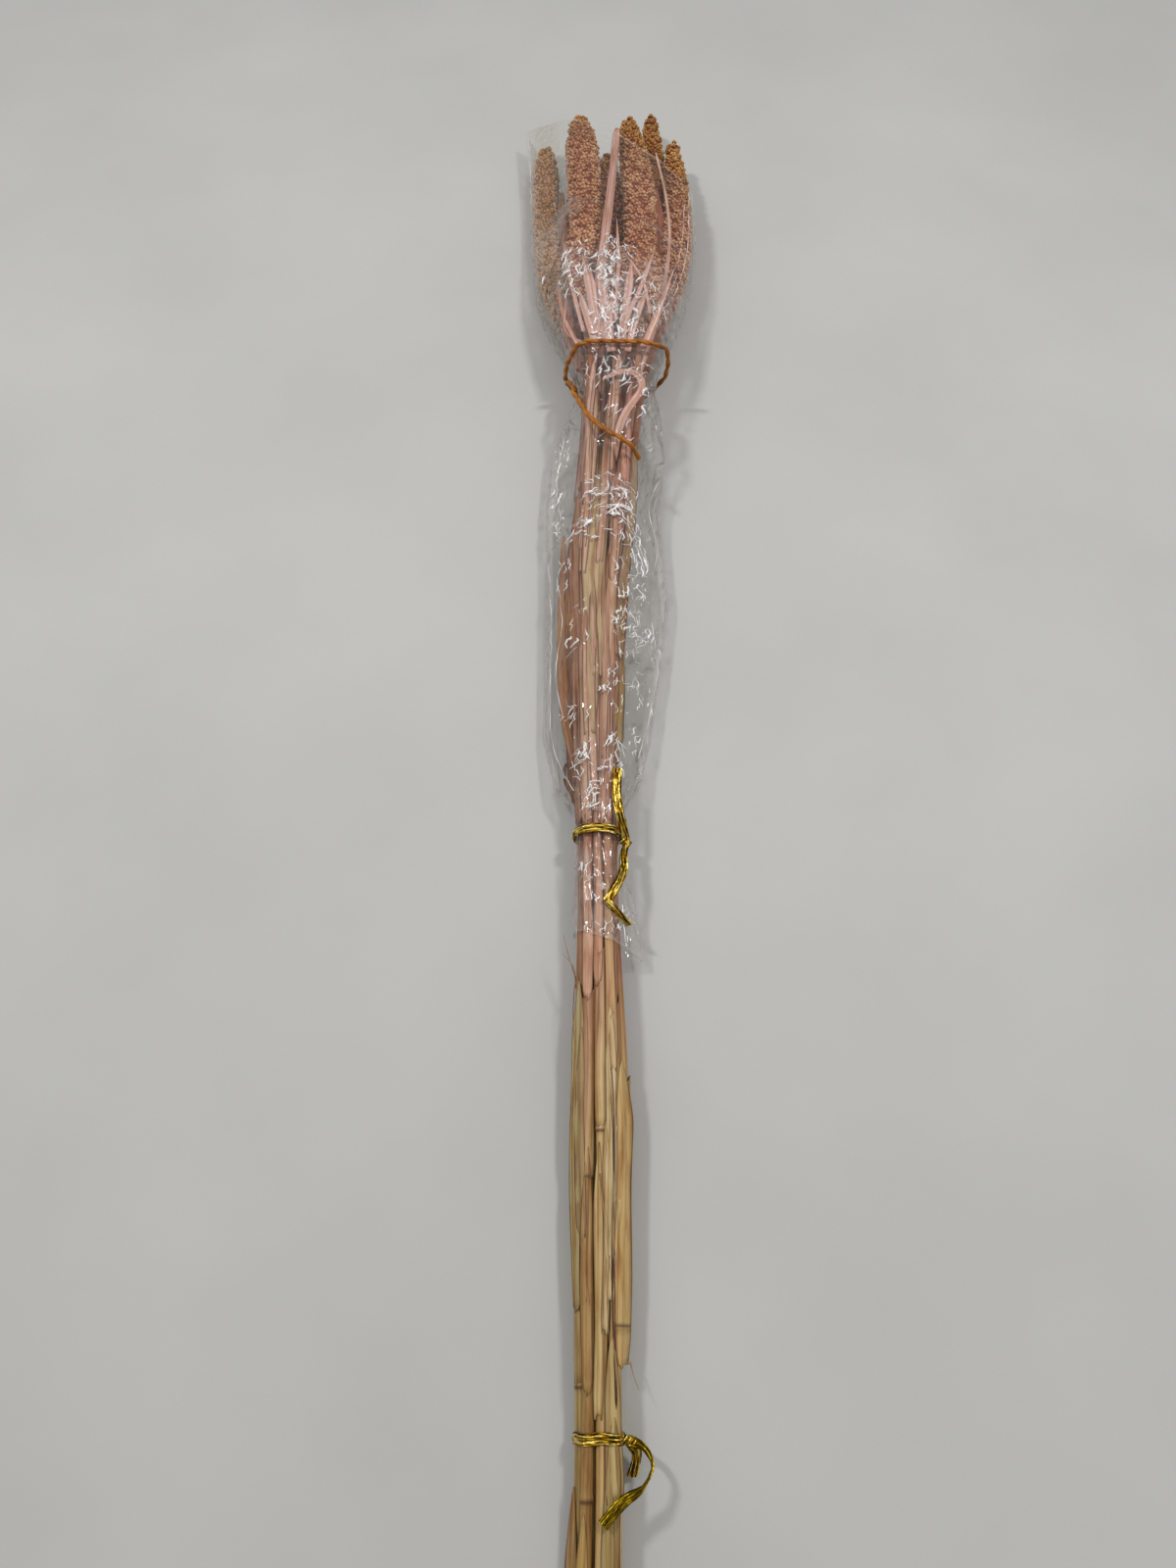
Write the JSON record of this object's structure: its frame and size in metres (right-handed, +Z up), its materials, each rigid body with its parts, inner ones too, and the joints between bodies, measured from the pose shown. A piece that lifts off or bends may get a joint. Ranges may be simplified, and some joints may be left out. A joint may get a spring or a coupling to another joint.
{
  "type": "bundle of preserved millet",
  "caption": "Dried millet stalks with knobbly seed heads, tied with foil twist ties and held in a clear crinkled film sleeve with a rubber band, lying flat.",
  "frame": {"origin": "on the surface it lies on, under the middle of the bundle's box", "axes": "+Y along the bundle towards the seed heads, +Z up off the surface, +X to the right seen from the cut ends"},
  "size_m": [0.1041, 0.872, 0.0514],
  "materials": {
    "millet_head": "matte crumbly grain, dyed salmon pink over golden tan",
    "stalk": "satin dry straw, pink towards the heads, with thin dry leaf sheaths and blades",
    "film_sleeve": "clear glossy crinkled packing film",
    "rubber_band": "translucent amber rubber, twisted on itself",
    "wire_tie": "bright gold foil over a thin wire"
  },
  "bodies": {
    "root": {"millet_head_01": "millet_head", "millet_head_02": "millet_head", "millet_head_03": "millet_head", "millet_head_04": "millet_head", "millet_head_05": "millet_head", "millet_head_06": "millet_head", "millet_head_07": "millet_head", "millet_head_08": "millet_head", "millet_head_09": "millet_head", "millet_head_10": "millet_head", "stalk_01": "stalk", "stalk_02": "stalk", "stalk_03": "stalk", "stalk_04": "stalk", "stalk_05": "stalk", "stalk_06": "stalk", "stalk_07": "stalk", "stalk_08": "stalk", "stalk_09": "stalk", "stalk_10": "stalk", "film_sleeve": "film_sleeve", "rubber_band": "rubber_band", "wire_tie_upper": "wire_tie", "wire_tie_lower": "wire_tie"}
  },
  "joints": []
}
